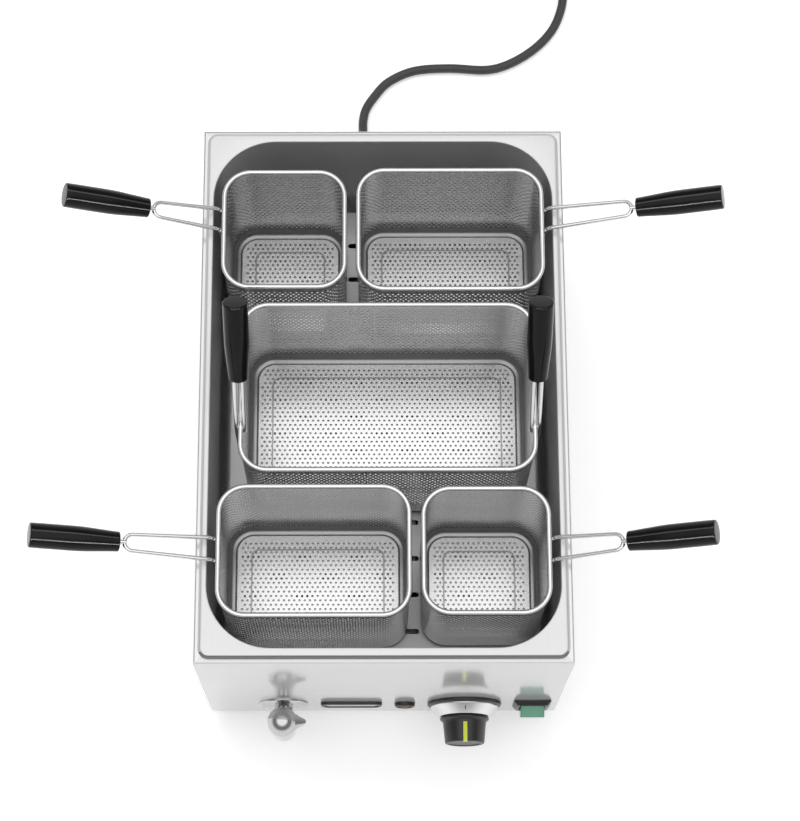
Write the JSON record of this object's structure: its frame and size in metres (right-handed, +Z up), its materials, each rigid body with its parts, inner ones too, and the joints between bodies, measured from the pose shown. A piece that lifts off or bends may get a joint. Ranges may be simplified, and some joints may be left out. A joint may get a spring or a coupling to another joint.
{
  "type": "pasta cooker",
  "caption": "Countertop electric pasta cooker: steel casing with a sunk tank, lift-out perforated baskets on wire handles with black grips, a drain tap and a front control row.",
  "frame": {"origin": "on the floor under the middle of the machine's bounding box, mains lead left out", "axes": "+X to the right seen from the front, +Y to the rear, +Z up; the control panel faces -Y"},
  "size_m": [0.6276, 0.9875, 0.3834],
  "materials": {
    "casing_steel": "satin",
    "front_steel": "polished",
    "plain_steel": "satin",
    "deck_steel": "satin",
    "tank_steel": "satin",
    "foot_rubber": "matte",
    "bright_steel": "polished",
    "element_steel": "satin",
    "brass": "satin",
    "pale_plastic": "matte",
    "control_black": "satin",
    "pointer_yellow": "satin",
    "dial_silver": "satin",
    "window_grey": "gloss",
    "lens_amber": "gloss",
    "rocker_green": "gloss",
    "chrome": "polished",
    "basket_steel": "satin",
    "wire_steel": "polished",
    "grip_black": "satin",
    "cord_fittings": "satin",
    "cord_rubber": "matte"
  },
  "bodies": {
    "cooker": {"left_side_panel": "casing_steel", "right_side_panel": "casing_steel", "rear_panel": "casing_steel", "front_panel": "front_steel", "base_plate": "plain_steel", "deck": "deck_steel", "tank": "tank_steel", "feet": "foot_rubber", "foot_screws": "bright_steel", "base_screws": "bright_steel", "heating_element": "element_steel", "floor_glands": "brass", "sensing_bulb": "brass", "capillary_tube": "brass", "overheat_cutout": "pale_plastic", "terminal_block": "pale_plastic", "thermostat_case": "pale_plastic", "dial_ring": "dial_silver", "dial_base": "control_black", "thermometer_bezel": "control_black", "thermometer_window": "window_grey", "lamp_bezel": "control_black", "lamp_lens": "lens_amber", "switch_bezel": "control_black", "tap_barrel": "chrome", "tap_escutcheon": "chrome", "tap_lock_nut": "brass", "drain_pipe": "chrome", "cord_gland": "cord_fittings", "gland_nut": "cord_fittings", "strain_relief": "cord_fittings", "cord_lead": "cord_rubber", "cord_coil": "cord_rubber", "cord_tie": "cord_fittings", "plug_body": "cord_fittings", "plug_pins": "bright_steel"},
    "false_bottom": {"false_bottom": "plain_steel"},
    "rear_left_lift_out": {"rear_left_basket": "basket_steel", "rear_left_frame": "wire_steel", "rear_left_grip": "grip_black"},
    "rear_right_lift_out": {"rear_right_basket": "basket_steel", "rear_right_frame": "wire_steel", "rear_right_grip": "grip_black"},
    "front_left_lift_out": {"front_left_basket": "basket_steel", "front_left_frame": "wire_steel", "front_left_grip": "grip_black"},
    "front_right_lift_out": {"front_right_basket": "basket_steel", "front_right_frame": "wire_steel", "front_right_grip": "grip_black"},
    "middle_lift_out": {"middle_basket": "basket_steel", "middle_frame": "wire_steel", "middle_left_grip": "grip_black", "middle_right_grip": "grip_black"},
    "thermostat_control": {"thermostat_spindle": "bright_steel", "thermostat_knob": "control_black", "knob_pointer": "pointer_yellow"},
    "tap_control": {"tap_plug": "brass", "tap_lever": "chrome"},
    "switch_control": {"switch_rocker": "rocker_green"}
  },
  "joints": [
    {"name": "false_bottom_lift", "type": "slide", "parent": "cooker", "child": "false_bottom", "axis": [0, 0, 1], "range_m": [0, 0.2]},
    {"name": "rear_left_basket_lift", "type": "slide", "parent": "false_bottom", "child": "rear_left_lift_out", "axis": [0, 0, 1], "range_m": [0, 0.2]},
    {"name": "rear_right_basket_lift", "type": "slide", "parent": "false_bottom", "child": "rear_right_lift_out", "axis": [0, 0, 1], "range_m": [0, 0.2]},
    {"name": "front_left_basket_lift", "type": "slide", "parent": "false_bottom", "child": "front_left_lift_out", "axis": [0, 0, 1], "range_m": [0, 0.2]},
    {"name": "front_right_basket_lift", "type": "slide", "parent": "false_bottom", "child": "front_right_lift_out", "axis": [0, 0, 1], "range_m": [0, 0.2]},
    {"name": "middle_basket_lift", "type": "slide", "parent": "false_bottom", "child": "middle_lift_out", "axis": [0, 0, 1], "range_m": [0, 0.2]},
    {"name": "thermostat_turn", "type": "hinge", "parent": "cooker", "child": "thermostat_control", "pos_m": [0.079, -0.2625, 0.064], "axis": [0, 1, 0], "range_deg": [0, 270]},
    {"name": "tap_turn", "type": "hinge", "parent": "cooker", "child": "tap_control", "pos_m": [-0.097, -0.261, 0.064], "axis": [0, 0, -1], "range_deg": [0, 90]},
    {"name": "switch_tilt", "type": "hinge", "parent": "cooker", "child": "switch_control", "pos_m": [0.145, -0.2385, 0.064], "axis": [-1, 0, 0], "range_deg": [0, 20]}
  ]
}
